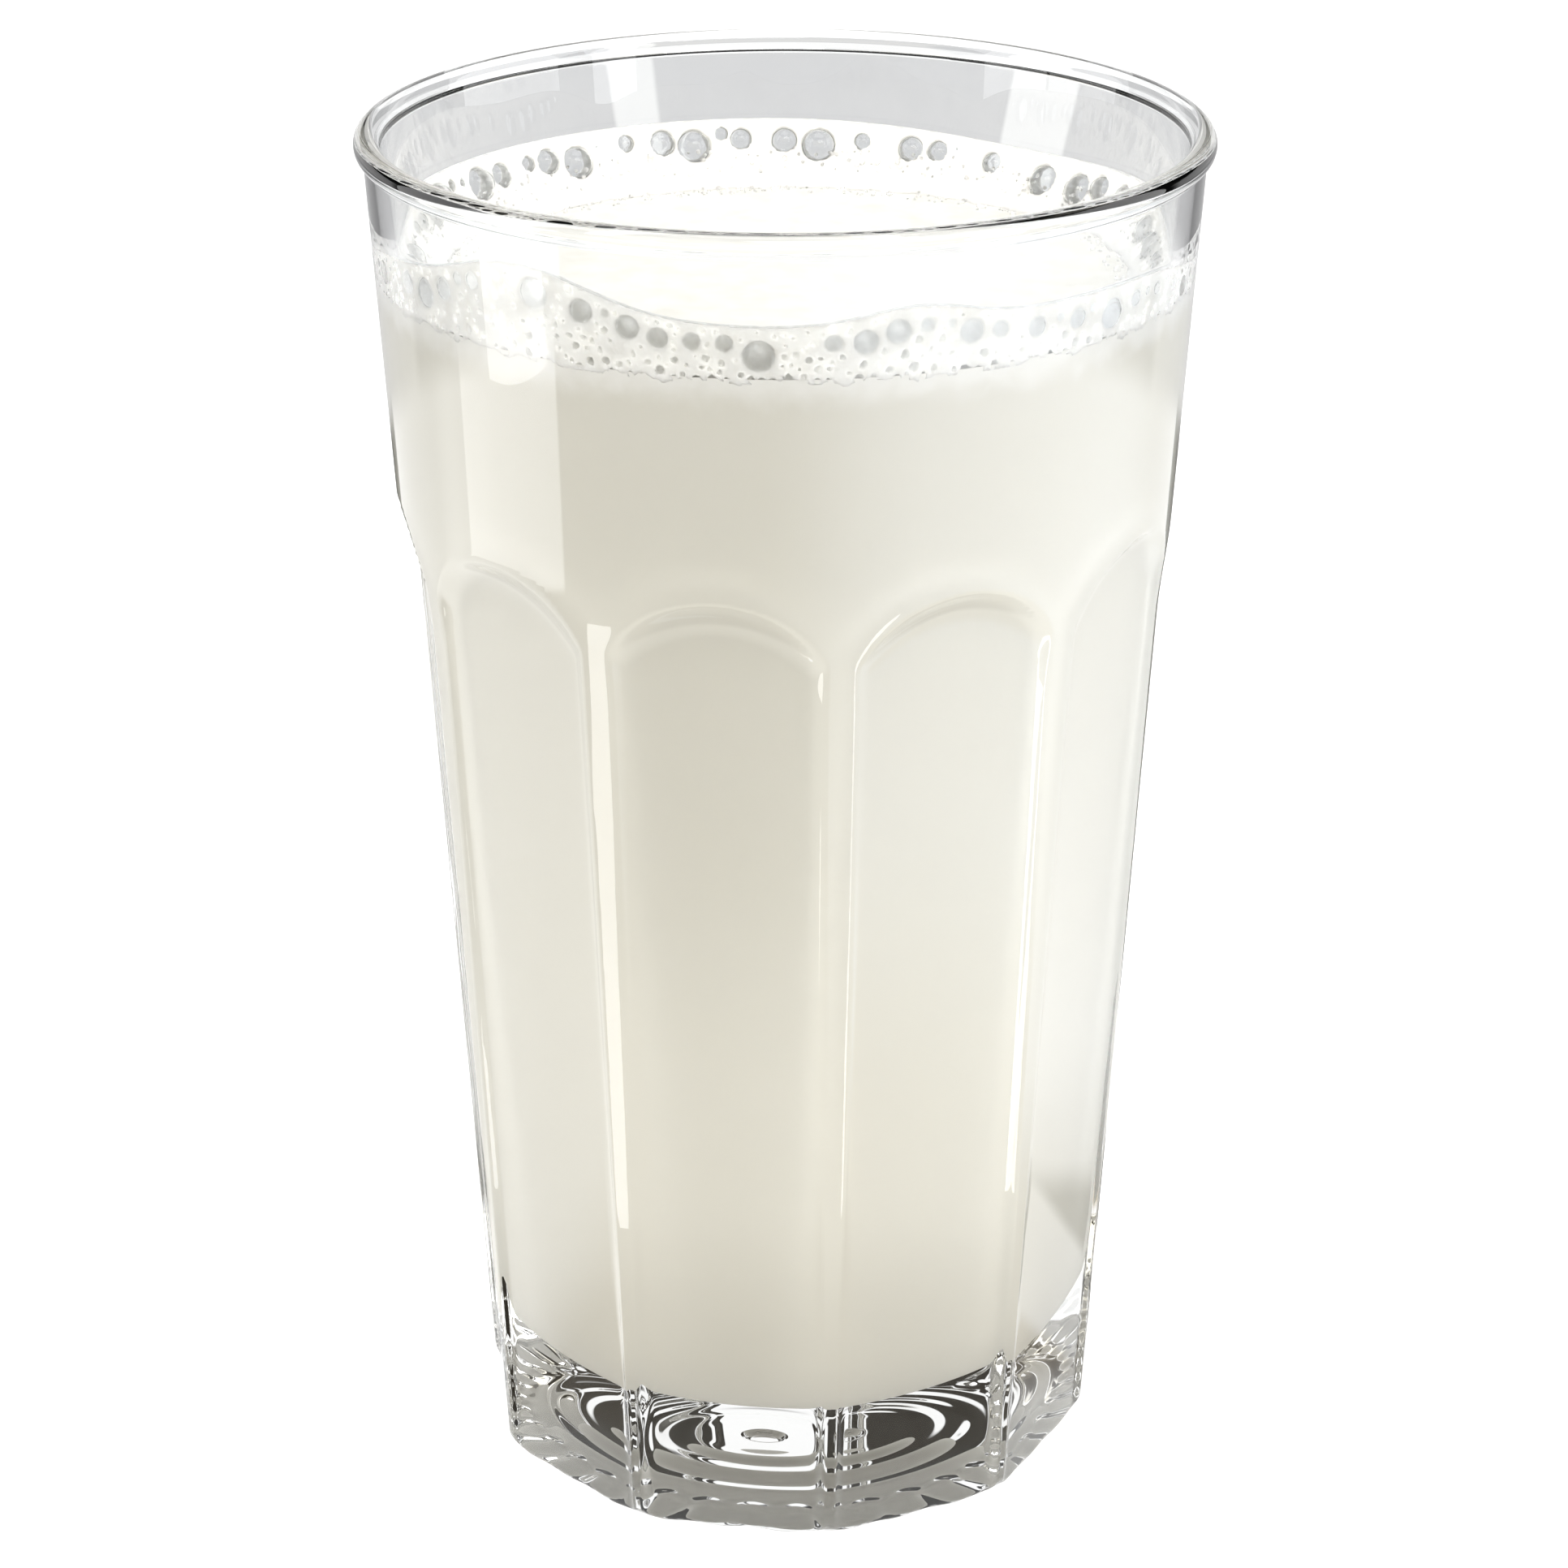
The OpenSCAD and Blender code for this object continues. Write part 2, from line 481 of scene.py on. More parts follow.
class GeometryTree(Wiring):
    """A Geometry Nodes tree with named inputs."""

    def __init__(self, name: str) -> None:
        """Starts the tree.

        Args:
            name: The tree's name.
        """
        super().__init__(bpy.data.node_groups.new(name, "GeometryNodeTree"))
        self.sockets: dict[str, str] = {}
        self.tree.interface.new_socket("Geometry", in_out="INPUT", socket_type="NodeSocketGeometry")
        self.tree.interface.new_socket("Geometry", in_out="OUTPUT", socket_type="NodeSocketGeometry")
        self.entry = self.add("NodeGroupInput")

    def ask(self, name: str, kind: Kind) -> Socket:
        """Adds a named input to the tree.

        Args:
            name: The input's name.
            kind: What it takes.

        Returns:
            The input as a socket inside the tree.
        """
        item = self.tree.interface.new_socket(name, in_out="INPUT", socket_type=kind.value)
        self.sockets[name] = item.identifier
        return self.entry.outputs[name]

    def position(self) -> list[Socket]:
        """Reads each point's place, as three sockets."""
        place = self.add("GeometryNodeInputPosition").outputs[0]
        return list(self.add("ShaderNodeSeparateXYZ", {0: place}).outputs)

    def vector(self, *parts: Socket) -> Socket:
        """Puts up to three parts together as a vector."""
        return self.add("ShaderNodeCombineXYZ", dict(enumerate(parts))).outputs[0]

    def square(self, value: Socket) -> Socket:
        """The square of a value."""
        return self.math("POWER", value, 2.0)

    def beyond(self, value: Socket, start: Socket, most: Socket) -> Socket:
        """How far a value lies beyond a start, from 0 up to a most."""
        return self.math("MINIMUM", self.math("MAXIMUM", self.math("SUBTRACT", value, start), 0.0), most)

    def fall(self, radius: Socket, run: Socket) -> Socket:
        """How far a round of a given radius has fallen after a run along its tangent."""
        left = self.math("SUBTRACT", self.square(radius), self.square(run))
        return self.math("SUBTRACT", radius, self.math("SQRT", self.math("MAXIMUM", left, 0.0)))

    def close(self, geometry: Socket) -> None:
        """Joins a geometry to the tree's output."""
        self.add("NodeGroupOutput", {0: geometry})

    def apply(self, piece: bpy.types.Object, values: dict[str, object]) -> bpy.types.Object:
        """Runs the tree on a piece and keeps the resulting mesh.

        Args:
            piece: The object that the tree starts from.
            values: A value for each named input.

        Returns:
            The piece, with a plain mesh.
        """
        modifier = piece.modifiers.new(self.tree.name, "NODES")
        modifier.node_group = self.tree
        for name, value in values.items():
            modifier[self.sockets[name]] = value
        return bake_nodes(piece)


def panelled_turning() -> GeometryTree:
    """Builds the tree that turns a section round the axis and presses flat, arched panels into it.

    One panel's share of the turn is shaped as a grid, then repeated round the axis.

    Returns:
        The tree.
    """
    tree = GeometryTree("panelled_turning")
    panels = tree.ask("Panels", Kind.INT)
    columns = tree.ask("Columns", Kind.INT)
    turn = tree.ask("Turn", Kind.FLOAT)
    flat_foot = tree.ask("Flat Foot", Kind.FLOAT)
    flat_slope = tree.ask("Flat Slope", Kind.FLOAT)
    arch_height = tree.ask("Arch Height", Kind.FLOAT)
    arch_radius = tree.ask("Arch Radius", Kind.FLOAT)
    scoop_radius = tree.ask("Scoop Radius", Kind.FLOAT)
    heel_radius = tree.ask("Heel Radius", Kind.FLOAT)
    rib_start = tree.ask("Rib Start", Kind.FLOAT)
    rib_slope = tree.ask("Rib Slope", Kind.FLOAT)
    rib_round = tree.ask("Rib Round", Kind.FLOAT)
    knurl_depth = tree.ask("Knurl Depth", Kind.FLOAT)
    knurl_count = tree.ask("Knurl Count", Kind.FLOAT)
    knurl_radius = tree.ask("Knurl Radius", Kind.FLOAT)
    softness = tree.ask("Softness", Kind.FLOAT)
    material = tree.ask("Material", Kind.MATERIAL)

    section = tree.entry.outputs[0]
    rows = tree.add("GeometryNodeAttributeDomainSize", {0: section}).outputs["Point Count"]
    lines = tree.math("ADD", columns, 1)
    grid = tree.add(
        "GeometryNodeMeshGrid", {"Size X": 1.0, "Size Y": 1.0, "Vertices X": lines, "Vertices Y": rows}
    ).outputs["Mesh"]
    across, along, _ = tree.position()
    row = tree.math("MULTIPLY", tree.math("ADD", along, 0.5), tree.math("SUBTRACT", rows, 1))
    sampled = tree.add(
        "GeometryNodeSampleIndex",
        {
            "Geometry": section,
            "Value": tree.add("GeometryNodeInputPosition").outputs[0],
            "Index": tree.math("ROUND", row),
        },
        data_type="FLOAT_VECTOR",
    ).outputs[0]
    point = tree.add("ShaderNodeSeparateXYZ", {0: sampled})
    radius, height = point.outputs[0], point.outputs[2]

    share = tree.math("DIVIDE", math.tau, panels)
    swing = tree.math("SINE", tree.math("MULTIPLY", across, math.tau))
    crowding = tree.math("MULTIPLY", swing, CROWDING / math.tau)
    angle = tree.math("MULTIPLY", tree.math("ADD", across, crowding), share)
    side = tree.math("MULTIPLY", radius, tree.math("SINE", angle))
    rise = tree.math("MAXIMUM", tree.math("SUBTRACT", height, arch_height), 0.0)
    reach = tree.math("SQRT", tree.math("ADD", tree.square(side), tree.square(rise)))
    arch = tree.fall(scoop_radius, tree.beyond(reach, arch_radius, scoop_radius))
    edge = tree.math("MULTIPLY_ADD", rib_slope, height, rib_start)
    flank = tree.fall(rib_round, tree.beyond(tree.math("ABSOLUTE", side), edge, rib_round))
    scoop = tree.math("MAXIMUM", arch, flank)
    inset = tree.fall(heel_radius, tree.beyond(heel_radius, height, heel_radius))
    flat = tree.math("MULTIPLY_ADD", flat_slope, height, flat_foot)
    pushed = tree.math("SUBTRACT", tree.math("ADD", flat, scoop), inset)
    limit = tree.math("DIVIDE", pushed, tree.math("COSINE", angle))
    pressed = tree.math("SMOOTH_MIN", radius, limit, softness)
    shaped = tree.math("MAXIMUM", tree.math("MINIMUM", pressed, radius), 0.0)

    from_ring = tree.math("ABSOLUTE", tree.math("SUBTRACT", radius, knurl_radius))
    whole_to, gone_past = 3.0 * MM, 7.0 * MM
    low_to, high_from = 1.0 * MM, 1.2 * MM
    ring = tree.ramp(from_ring, whole_to, gone_past, 1.0, 0.0)
    ring = tree.math("MULTIPLY", ring, tree.ramp(height, low_to, high_from, 1.0, 0.0))
    wave = tree.math("MULTIPLY_ADD", tree.math("SINE", tree.math("MULTIPLY", angle, knurl_count)), 0.5, 0.5)
    knurl = tree.math("MULTIPLY", tree.math("MULTIPLY", wave, ring), knurl_depth)
    bearing = tree.math("ADD", angle, turn)
    moved = tree.vector(
        tree.math("MULTIPLY", shaped, tree.math("COSINE", bearing)),
        tree.math("MULTIPLY", shaped, tree.math("SINE", bearing)),
        tree.math("ADD", height, knurl),
    )
    sector = tree.add("GeometryNodeSetPosition", {"Geometry": grid, "Position": moved}).outputs[0]

    spots = tree.add("GeometryNodePoints", {"Count": panels}).outputs[0]
    step = tree.math("MULTIPLY", tree.add("GeometryNodeInputIndex").outputs[0], share)
    spin = tree.add("ShaderNodeCombineXYZ", {2: step}).outputs[0]
    copies = tree.add(
        "GeometryNodeInstanceOnPoints", {"Points": spots, "Instance": sector, "Rotation": spin}
    ).outputs[0]
    joined = tree.add("GeometryNodeRealizeInstances", {0: copies}).outputs[0]
    merged = tree.add("GeometryNodeMergeByDistance", {"Geometry": joined, "Distance": 0.5e-6}).outputs[0]
    smooth = tree.add("GeometryNodeSetShadeSmooth", {"Geometry": merged, "Shade Smooth": True}).outputs[0]
    dressed = tree.add("GeometryNodeSetMaterial", {"Geometry": smooth, "Material": material}).outputs[0]
    tree.close(dressed)
    return tree


# -------------------------------------------------------------------- pieces


@dataclass
class Tumbler:
    """The pressed glass: a turned section with flat panels pressed into its outside."""

    height: float = 140 * MM
    rim_radius: float = 41.1 * MM
    shoulder_radius: float = 38.55 * MM
    shoulder_height: float = 100 * MM
    rib_top_radius: float = 37.65 * MM
    rib_top_height: float = 93 * MM
    rib_foot_radius: float = 32.15 * MM
    bead_radius: float = 1.25 * MM
    panels: int = 10
    panel_turn: float = 26.0
    rib_width_top: float = 3.2 * MM
    rib_width_foot: float = 1.0 * MM
    arch_height: float = 88 * MM
    arch_radius: float = 11.6 * MM
    scoop_radius: float = 5 * MM
    rib_depth: float = 0.45 * MM
    rib_run: float = 1.1 * MM
    knurl_depth: float = 0.36 * MM
    knurl_count: float = 30.0
    knurl_offset: float = 2.0 * MM
    ring_depth: float = 0.14 * MM
    ring_spacing: float = 5.6 * MM
    heel_radius: float = 2.6 * MM
    flat_heel: float = 0.7 * MM
    rim_wall: float = 1.7 * MM
    panel_wall: float = 1.5 * MM
    floor_thickness: float = 11.8 * MM
    floor_round: float = 9 * MM
    punt_radius: float = 24.03 * MM
    punt_depth: float = 1.6 * MM
    dot_radius: float = 2.4 * MM
    dot_height: float = 0.5 * MM
    softness: float = 0.32 * MM
    arch_zone: tuple[float, float] = (80 * MM, 107 * MM)
    columns: int = 36
    finish: ClearGlass = field(default_factory=ClearGlass)

    @property
    def bead_height(self) -> float:
        """Height of the bead's centre."""
        return self.height - self.bead_radius

    def band_radius(self, z: float) -> float:
        """Outer radius of the smooth band's cone at height z."""
        slope = (self.rim_radius - self.shoulder_radius) / (self.height - self.shoulder_height)
        return self.shoulder_radius + slope * (z - self.shoulder_height)

    def rib_radius(self, z: float) -> float:
        """Outer radius of the ribs' cone at height z."""
        return self.rib_foot_radius + (self.rib_top_radius - self.rib_foot_radius) * z / self.rib_top_height

    def flat_distance(self, radius: float, width: float) -> float:
        """Distance of a flat from the axis where it leaves a rib of a given width.

        Args:
            radius: The rib's radius.
            width: The rib's width.

        Returns:
            The distance.
        """
        half = radius * math.sin(math.pi / self.panels) - width / 2
        return math.sqrt(radius**2 - half**2)

    def panel_half(self, share: float) -> float:
        """Half of a panel's width.

        Args:
            share: Where: 0 at the foot, 1 under the arches.

        Returns:
            Half of the width.
        """
        radius = self.rib_foot_radius + (self.rib_top_radius - self.rib_foot_radius) * share
        width = self.rib_width_foot + (self.rib_width_top - self.rib_width_foot) * share
        return radius * math.sin(math.pi / self.panels) - width / 2

    @property
    def flat_foot(self) -> float:
        """Distance of the flats from the axis at the foot."""
        return self.flat_distance(self.rib_foot_radius, self.rib_width_foot)

    @property
    def flat_slope(self) -> float:
        """How fast the flats lean outwards."""
        top = self.flat_distance(self.rib_top_radius, self.rib_width_top)
        return (top - self.flat_foot) / self.rib_top_height

    @property
    def cavity_slope(self) -> float:
        """How fast the inner wall leans outwards."""
        top = self.band_radius(self.bead_height) - self.rim_wall
        arch = self.flat_foot + self.flat_slope * self.arch_height - self.panel_wall
        return (top - arch) / (self.bead_height - self.arch_height)

    def cavity_radius(self, z: float) -> float:
        """Inner radius of the wall at height z."""
        top = self.band_radius(self.bead_height) - self.rim_wall
        return top + self.cavity_slope * (z - self.bead_height)

    @property
    def floor_corner(self) -> Point:
        """Centre of the round between floor and wall."""
        z = self.floor_thickness + self.floor_round
        lean = math.atan(self.cavity_slope)
        return self.cavity_radius(z) - self.floor_round / math.cos(lean), z

    def underside(self) -> list[Point]:
        """The hollow under the foot, from its centre to the flat ring that it stands on."""
        ball = (self.punt_radius**2 + self.punt_depth**2) / (2 * self.punt_depth)
        points = []
        for r in spread(0.0, self.punt_radius, 72):
            dish = self.punt_depth - ball + math.sqrt(ball**2 - r**2)
            rings = smoothstep(0.25, 0.45, r / self.punt_radius) * smoothstep(1.0, 0.85, r / self.punt_radius)
            dish += rings * self.ring_depth * math.sin(math.tau * r / self.ring_spacing)
            dot = self.dot_height * (1 - smoothstep(0.7 * self.dot_radius, self.dot_radius, r))
            points.append((r, dish - dot))
        return points

    def outside(self) -> list[Point]:
        """The outer wall from the heel up to the bead, before the panels are pressed in."""
        low, high = self.rib_top_height - 1.5 * MM, self.shoulder_height + 1.5 * MM
        heights = spread(self.heel_radius, self.arch_zone[0], 10)[1:] + spread(*self.arch_zone, 54)[1:]
        under_bead = self.bead_height - self.bead_radius
        heights += spread(self.arch_zone[1], under_bead - 0.5 * MM, 8)[1:]
        heights += [under_bead - 0.25 * MM, under_bead - 0.08 * MM]
        points = []
        for z in heights:
            ribs, band = self.rib_radius(z), self.band_radius(z)
            points.append((ribs + (band - ribs) * smoothstep(low, high, z), z))
        return points

    def lip(self) -> list[Point]:
        """The bead, from under its outer side over the top to its inner side."""
        lean = math.atan(self.cavity_slope)
        centre = (self.cavity_radius(self.bead_height) + self.bead_radius / math.cos(lean), self.bead_height)
        round_part = arc(centre, self.bead_radius, -72, 180 - math.degrees(lean), 38)
        return [(max(r, self.band_radius(z)) if z < centre[1] else r, z) for r, z in round_part]

    def inside(self) -> list[Point]:
        """The inner wall and the floor, from under the bead to the floor's centre."""
        centre = self.floor_corner
        lean = math.degrees(math.atan(self.cavity_slope))
        corner = arc(centre, self.floor_round, -lean, -90, 14)
        heights = [self.bead_height - 0.1 * MM] + spread(self.bead_height - 0.4 * MM, corner[0][1], 24)[:-1]
        wall = [(self.cavity_radius(z), z) for z in heights]
        floor = [(r, self.floor_thickness) for r in spread(centre[0], 0.0, 10)[1:]]
        return wall + corner + floor

    def section(self) -> list[Point]:
        """The whole section, from the underside's centre round to the floor's centre."""
        foot = self.rib_radius(self.heel_radius) - self.heel_radius
        heel = arc((foot, self.heel_radius), self.heel_radius, -90, 0, 10)
        return self.underside() + heel + self.outside() + self.lip() + self.inside()

    def build(self, tree: GeometryTree) -> bpy.types.Object:
        """Builds the glass.

        Args:
            tree: The panelled turning tree.

        Returns:
            The finished piece.
        """
        piece = section_mesh("pressed_glass", self.section())
        return tree.apply(
            piece,
            {
                "Panels": self.panels,
                "Columns": self.columns,
                "Turn": math.radians(self.panel_turn - 90.0),
                "Flat Foot": self.flat_foot - self.rib_depth,
                "Flat Slope": self.flat_slope,
                "Rib Start": self.panel_half(0.0) - self.rib_run,
                "Rib Slope": (self.panel_half(1.0) - self.panel_half(0.0)) / self.rib_top_height,
                "Rib Round": (self.rib_run**2 + self.rib_depth**2) / (2 * self.rib_depth),
                "Knurl Depth": self.knurl_depth,
                "Knurl Count": self.knurl_count,
                "Knurl Radius": self.punt_radius + self.knurl_offset,
                "Arch Height": self.arch_height,
                "Arch Radius": self.arch_radius,
                "Scoop Radius": self.scoop_radius,
                "Heel Radius": self.flat_heel,
                "Softness": self.softness,
                "Material": self.finish.make(),
            },
        )


@dataclass
class Milk:
    """The drink: one closed body that reaches just into the wall, with an open wet top."""

    tumbler: Tumbler
    headspace: float = 15.5 * MM
    climb_height: float = 1.5 * MM
    climb_width: float = 4.5 * MM
    bite: float = 0.08 * MM

    @property
    def level(self) -> float:
        """Height of the level part of the surface."""
        return self.tumbler.height - self.headspace

    @property
    def edge(self) -> float:
        """Height at which the surface meets the wall."""
        return self.level + self.climb_height

    def surface_height(self, inward: float) -> float:
        """Height of the surface at a distance in from the wall."""
        ball = (self.climb_width**2 + self.climb_height**2) / (2 * self.climb_height)
        run = min(self.climb_width, max(0.0, self.climb_width - inward))
        return self.level + ball - math.sqrt(ball**2 - run**2)

    def section(self) -> list[Point]:
        """The section from the bottom centre to the top centre."""
        glass = self.tumbler
        lean = math.degrees(math.atan(glass.cavity_slope))
        bottom = [(r, glass.floor_thickness - self.bite) for r in spread(0.0, glass.floor_corner[0], 8)[:-1]]
        corner = arc(glass.floor_corner, glass.floor_round + self.bite, -90, -lean, 14)
        heights = spread(corner[-1][1], self.edge - 1.2 * MM, 40)[1:]
        heights += [self.edge - down * MM for down in (0.5, 0.2, 0.06, 0.0)]
        wall = [(glass.cavity_radius(z) + self.bite, z) for z in heights]
        edge_radius = glass.cavity_radius(self.edge)
        steps_in = spread(0.0, self.climb_width, 12)[1:]
        climb = [(edge_radius - inward, self.surface_height(inward)) for inward in steps_in]
        top = [(r, self.level) for r in spread(edge_radius - self.climb_width, 0.0, 12)[1:]]
        return bottom + corner + wall + climb + top

    def build(self, tree: GeometryTree) -> bpy.types.Object:
        """Builds the milk.

        Args:
            tree: The turning tree, which leaves this section plain.

        Returns:
            The finished piece.
        """
        piece = section_mesh("milk_body", self.section())
        far = 1.0
        tree.apply(
            piece,
            {
                "Panels": self.tumbler.panels,
                "Columns": 18,
                "Turn": 0.0,
                "Flat Foot": far,
                "Flat Slope": 0.0,
                "Rib Start": far,
                "Rib Slope": 0.0,
                "Rib Round": 1.0 * MM,
                "Knurl Depth": 0.0,
                "Knurl Count": 0.0,
                "Knurl Radius": far,
                "Arch Height": far,
                "Arch Radius": far,
                "Scoop Radius": 1.0 * MM,
                "Heel Radius": 1.0 * MM,
                "Softness": 0.0,
                "Material": MilkBody(self.edge).make(),
            },
        )
        piece.data.materials.append(MilkSurface().make())
        for face in piece.data.polygons:
            radius = math.hypot(face.center.x, face.center.y)
            on_top = face.normal.z > 0.3 and face.center.z > self.level - 1 * MM
            if on_top and radius < self.tumbler.cavity_radius(self.edge):
                face.material_index = 1
        return piece


# -------------------------------------------------------------------- froth


@dataclass(frozen=True)
class Bubble:
    """One bubble: its centre and its radius."""

    x: float
    y: float
    z: float
    radius: float

    def clear_of(self, other: "Bubble", gap: float) -> bool:
        """Tells whether another bubble keeps its distance.

        Args:
            other: The other bubble.
            gap: The distance that the skins must keep.

        Returns:
            True if it does.
        """
        reach = self.radius + other.radius + gap
        return (self.x - other.x) ** 2 + (self.y - other.y) ** 2 + (self.z - other.z) ** 2 > reach**2


@dataclass
class Froth:
    """The froth round the milk's edge: white foam with open bubbles, bubble skins and a wet edge."""

    milk: Milk
    plain_height: float = 4.9 * MM
    swells: tuple[tuple[float, float, float], ...] = (
        (-128.0, 3.8, 16.0),
        (-72.0, 1.6, 10.0),
        (-8.0, -2.2, 15.0),
        (50.0, -1.0, 25.0),
        (-176.0, -1.7, 12.0),
    )
    top_thickness: float = 0.75 * MM
    foot_thickness: float = 3.9 * MM
    bite: float = 0.12 * MM
    grain: float = 0.25 * MM
    large_radii: tuple[float, ...] = (0.55, 0.8, 1.0, 1.2, 1.4, 1.8)
    large_gaps: tuple[float, ...] = (0.1, 0.25, 0.5, 0.9, 1.8)
    back: tuple[float, float] = (15.0, 165.0)
    dish_pull: float = 0.9
    dish_size: float = 0.905
    seed: int = 7

    def top(self, angle: float | np.ndarray) -> float | np.ndarray:
        """Works out the height of the froth's edge.

        Args:
            angle: An angle in degrees about Z, or an array of them.

        Returns:
            The height, or an array of them.
        """
        rise = 0.0 * angle
        for middle, height, half in self.swells:
            turn = abs((angle - middle + 540.0) % 360.0 - 180.0)
            rise += height * MM * np.exp(-((turn / half) ** 2))
        return self.milk.edge + self.plain_height + rise

    def rise_share(self, z: float | np.ndarray, top: float | np.ndarray) -> float | np.ndarray:
        """How far up the froth a height lies, from 0 at the milk to 1 at the edge."""
        return np.clip((z - self.milk.level) / (top - self.milk.level), 0.0, 1.0)

    def thickness(self, share: float | np.ndarray) -> float | np.ndarray:
        """How far the foam stands in from the wall, at a share of its height."""
        return self.top_thickness + (self.foot_thickness - self.top_thickness) * (1.0 - share) ** 1.5

    def wall_radius(self, z: float) -> float:
        """Inner radius of the wall at height z."""
        return self.milk.tumbler.cavity_radius(z)

    def on_wall(self, angle: float, inward: float, z: float, radius: float) -> Bubble:
        """Makes a bubble near the wall.

        Args:
            angle: Its angle in degrees about Z.
            inward: Its centre's distance in from the wall.
            z: Its centre's height.
            radius: Its radius.

        Returns:
            The bubble.
        """
        out = self.wall_radius(z) - inward
        turn = math.radians(angle)
        return Bubble(out * math.cos(turn), out * math.sin(turn), z, radius)

    def large_bubbles(self) -> list[Bubble]:
        """One row of larger bubbles just under the edge, of mixed sizes and at mixed distances."""
        dice = random.Random(self.seed)
        bubbles: list[Bubble] = []
        angle = -180.0
        while angle < 178.0:
            radius = dice.choice(self.large_radii) * MM
            step = math.degrees(radius / self.wall_radius(self.milk.edge))
            angle += step
            z = self.top(angle) - radius - dice.uniform(0.55, 1.1) * MM
            bubble = self.on_wall(angle, 0.55 * radius, z, radius)
            if all(bubble.clear_of(other, 0.15 * MM) for other in bubbles):
                bubbles.append(bubble)
            angle += step + math.degrees(dice.choice(self.large_gaps) * MM / self.wall_radius(z))
        return bubbles

    def small_bubbles(self, taken: list[Bubble], count: int) -> list[Bubble]:
        """Small bubbles packed between and under the larger ones.

        Args:
            taken: The bubbles that are already there.
            count: How many places are tried.

        Returns:
            The new bubbles.
        """
        dice = random.Random(self.seed + 1)
        nearby: dict[int, list[Bubble]] = {}
        for bubble in taken:
            nearby.setdefault(self.share(bubble), []).append(bubble)
        bubbles: list[Bubble] = []
        for _ in range(count):
            angle = dice.uniform(-180.0, 180.0)
            radius = dice.triangular(0.22, 0.72, 0.30) * MM
            high = self.top(angle) - radius - 0.20 * MM
            z = high - (high - self.milk.edge + 0.2 * MM) * dice.random() ** 1.2
            inner = self.thickness(self.rise_share(z, self.top(angle))) - radius * 0.5
            inward = radius * 0.7 if dice.random() < 0.6 else inner
            bubble = self.on_wall(angle, inward, z, radius)
            place = self.share(bubble)
            beside = (k % BUBBLE_SHARES for k in (place - 1, place, place + 1))
            near = [other for k in beside for other in nearby.get(k, [])]
            if all(bubble.clear_of(other, 0.1 * MM) for other in near):
                bubbles.append(bubble)
                nearby.setdefault(place, []).append(bubble)
        return bubbles

    @staticmethod
    def share(bubble: Bubble) -> int:
        """Which share of the turn a bubble lies in."""
        turn = math.degrees(math.atan2(bubble.y, bubble.x)) + 180.0
        return int(turn / (360.0 / BUBBLE_SHARES)) % BUBBLE_SHARES

    def hollow(self, bubble: Bubble) -> Bubble:
        """Works out a large bubble's hollow in the foam: a dish at the front, the whole ball at the back.

        Args:
            bubble: The bubble.

        Returns:
            The ball to take out of the foam.
        """
        if self.back[0] < math.degrees(math.atan2(bubble.y, bubble.x)) < self.back[1]:
            return bubble
        pull = 1.0 + self.dish_pull * bubble.radius / math.hypot(bubble.x, bubble.y)
        return Bubble(bubble.x * pull, bubble.y * pull, bubble.z, self.dish_size * bubble.radius)

    def foam(self, holes: Sequence[Bubble]) -> bpy.types.Object:
        """Builds the foam as one closed skin round a field of distances.

        Args:
            holes: The bubbles that leave a hollow in it.

        Returns:
            The finished piece, without its material.
        """
        step = self.grain
        half = int(self.wall_radius(self.milk.tumbler.height) / step) + 3
        low, high = self.milk.level - 3.0 * MM, self.milk.tumbler.height - 3.0 * MM
        flat = np.arange(-half, half + 1) * step
        heights = low + np.arange(int((high - low) / step) + 1) * step
        x, y, z = np.meshgrid(flat, flat, heights, indexing="ij")
        away = self.solid_foam(x, y, z)
        away = np.maximum(away, low + 0.4 * MM - z)
        for bubble in holes:
            reach = int(bubble.radius / step) + 3
            middle = (
                int(round(bubble.x / step)) + half,
                int(round(bubble.y / step)) + half,
                int(round((bubble.z - low) / step)),
            )
            box = tuple(slice(max(0, k - reach), k + reach + 1) for k in middle)
            gap = np.sqrt((x[box] - bubble.x) ** 2 + (y[box] - bubble.y) ** 2 + (z[box] - bubble.z) ** 2)
            away[box] = np.maximum(away[box], bubble.radius - gap)
        grid = openvdb.FloatGrid(3.0 * step)
        grid.copyFromArray(np.clip(away, -3.0 * step, 3.0 * step).astype(np.float32))
        points, quads = grid.convertToQuads(0.0)
        points = points * step + np.array([-half * step, -half * step, low])
        mesh = bpy.data.meshes.new("froth_foam")
        mesh.from_pydata(points.tolist(), [], quads.tolist())
        mesh.validate()
        return self.outward(mesh)

    def solid_foam(self, x: np.ndarray, y: np.ndarray, z: np.ndarray) -> np.ndarray:
        """Measures how far places lie outside the foam, before its bubbles are taken out.

        Args:
            x: The places' first coordinates.
            y: Their second.
            z: Their heights.

        Returns:
            The distances, below 0 inside the foam.
        """
        angle = np.degrees(np.arctan2(y, x))
        top = self.top(angle)
        slope = self.milk.tumbler.cavity_slope
        inward = self.wall_radius(0.0) + slope * z - np.sqrt(x * x + y * y)
        share = self.rise_share(z, top)
        lumps = 0.28 * MM * np.sin(angle * 0.55) * np.sin(angle * 0.23 + z / MM * 1.3)
        thick = self.thickness(share) + lumps * (1.0 - share)
        hem = self.milk.edge - (0.5 + 0.35 * np.sin(angle * 0.9) * np.sin(angle * 0.37)) * MM
        bite = np.where(z > hem, self.bite, -0.4 * MM)
        return np.maximum(np.maximum(-inward - bite, inward - thick), z - top)

